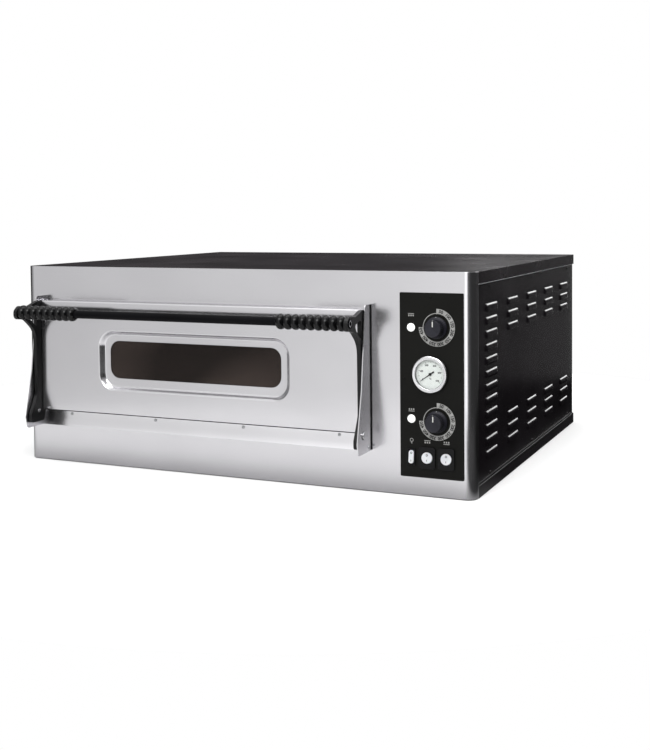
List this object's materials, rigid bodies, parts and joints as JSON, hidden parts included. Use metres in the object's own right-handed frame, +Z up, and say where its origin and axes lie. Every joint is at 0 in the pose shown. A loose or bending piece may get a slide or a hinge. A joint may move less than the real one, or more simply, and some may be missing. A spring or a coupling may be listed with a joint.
{
  "type": "deck oven",
  "caption": "Countertop single-deck baking oven: steel casing, drop-down glazed door with bar handle, stone-floored chamber, thermostat control panel.",
  "frame": {"origin": "centre of the casing's underside, on the surface it stands on", "axes": "+X to the right of someone facing the door, -Y out of the front, +Z up"},
  "size_m": [1.01, 0.9668, 0.42],
  "materials": {
    "satin_steel": "satin",
    "bright_steel": "polished",
    "aluminised_steel": "satin",
    "galvanised_steel": "matte",
    "black_paint": "satin",
    "cover_paint": "satin",
    "panel_black": "satin",
    "cast_black": "satin",
    "bar_black": "gloss",
    "grip_black": "gloss",
    "knob_black": "matte",
    "housing_black": "gloss",
    "white_plastic": "satin",
    "grey_plastic": "matte",
    "dial_white": "matte",
    "clear_glass": "gloss",
    "smoked_glass": "gloss",
    "lens_white": "gloss",
    "firebrick": "matte",
    "mineral_wool": "matte",
    "element_steel": "matte"
  },
  "bodies": {
    "casing": {"base_pan": "black_paint", "cable_gland": "housing_black", "chamber_ceiling": "aluminised_steel", "chamber_floor": "aluminised_steel", "chamber_lamp": "clear_glass", "chamber_rear": "aluminised_steel", "chamber_side_left": "aluminised_steel", "chamber_side_right": "aluminised_steel", "cheek_left": "satin_steel", "cheek_right": "satin_steel", "contactor": "grey_plastic", "control_panel": "panel_black", "element_lower": "element_steel", "element_upper": "element_steel", "front_panel": "satin_steel", "gauge_bezel": "bright_steel", "gauge_case": "galvanised_steel", "gauge_dial": "dial_white", "gauge_glass": "clear_glass", "hinge_pin_left": "bright_steel", "hinge_pin_right": "bright_steel", "insulation_bottom": "mineral_wool", "insulation_left": "mineral_wool", "insulation_rear": "mineral_wool", "insulation_right": "mineral_wool", "insulation_top": "mineral_wool", "partition_plate": "galvanised_steel", "pilot_lamp_lower": "lens_white", "pilot_lamp_upper": "lens_white", "rear_panel": "galvanised_steel", "side_panel_left": "black_paint", "side_panel_right": "black_paint", "sill_strip": "satin_steel", "stone_left": "firebrick", "stone_rack": "galvanised_steel", "stone_right": "firebrick", "switch_body_light": "housing_black", "switch_body_lower": "housing_black", "switch_body_upper": "housing_black", "terminal_block": "white_plastic", "thermostat_lower": "galvanised_steel", "thermostat_upper": "galvanised_steel", "top_cover": "cover_paint"},
    "door": {"door_skin": "satin_steel", "door_inner_panel": "bright_steel", "window_glass_outer": "smoked_glass", "window_glass_inner": "clear_glass", "arm_left": "cast_black", "arm_right": "cast_black", "handle_bar": "bar_black", "grip_left": "grip_black", "grip_right": "grip_black"},
    "upper_knob": {"knob_upper": "knob_black", "shaft_upper": "bright_steel"},
    "lower_knob": {"knob_lower": "knob_black", "shaft_lower": "bright_steel"},
    "gauge_pointer": {"gauge_needle": "housing_black"},
    "upper_rocker": {"rocker_upper": "white_plastic"},
    "lower_rocker": {"rocker_lower": "white_plastic"},
    "light_rocker": {"rocker_light": "white_plastic"}
  },
  "joints": [
    {"name": "door_hinge", "type": "hinge", "parent": "casing", "child": "door", "pos_m": [-0.08, -0.466, 0.114], "axis": [1, 0, 0], "range_deg": [0, 90]},
    {"name": "upper_knob_turn", "type": "hinge", "parent": "casing", "child": "upper_knob", "pos_m": [0.4325, -0.4265, 0.3167], "axis": [0, 1, 0], "range_deg": [0, 285]},
    {"name": "lower_knob_turn", "type": "hinge", "parent": "casing", "child": "lower_knob", "pos_m": [0.4325, -0.4265, 0.142], "axis": [0, 1, 0], "range_deg": [0, 285]},
    {"name": "pointer_turn", "type": "hinge", "parent": "casing", "child": "gauge_pointer", "pos_m": [0.42, -0.4265, 0.23], "axis": [0, 1, 0], "range_deg": [0, 255]},
    {"name": "upper_rocker_tilt", "type": "hinge", "parent": "casing", "child": "upper_rocker", "pos_m": [0.4133, -0.4275, 0.0735], "axis": [1, 0, 0], "range_deg": [0, 16]},
    {"name": "lower_rocker_tilt", "type": "hinge", "parent": "casing", "child": "lower_rocker", "pos_m": [0.4505, -0.4275, 0.0735], "axis": [1, 0, 0], "range_deg": [0, 16]},
    {"name": "light_rocker_tilt", "type": "hinge", "parent": "casing", "child": "light_rocker", "pos_m": [0.3825, -0.4275, 0.0735], "axis": [1, 0, 0], "range_deg": [0, 16]}
  ]
}
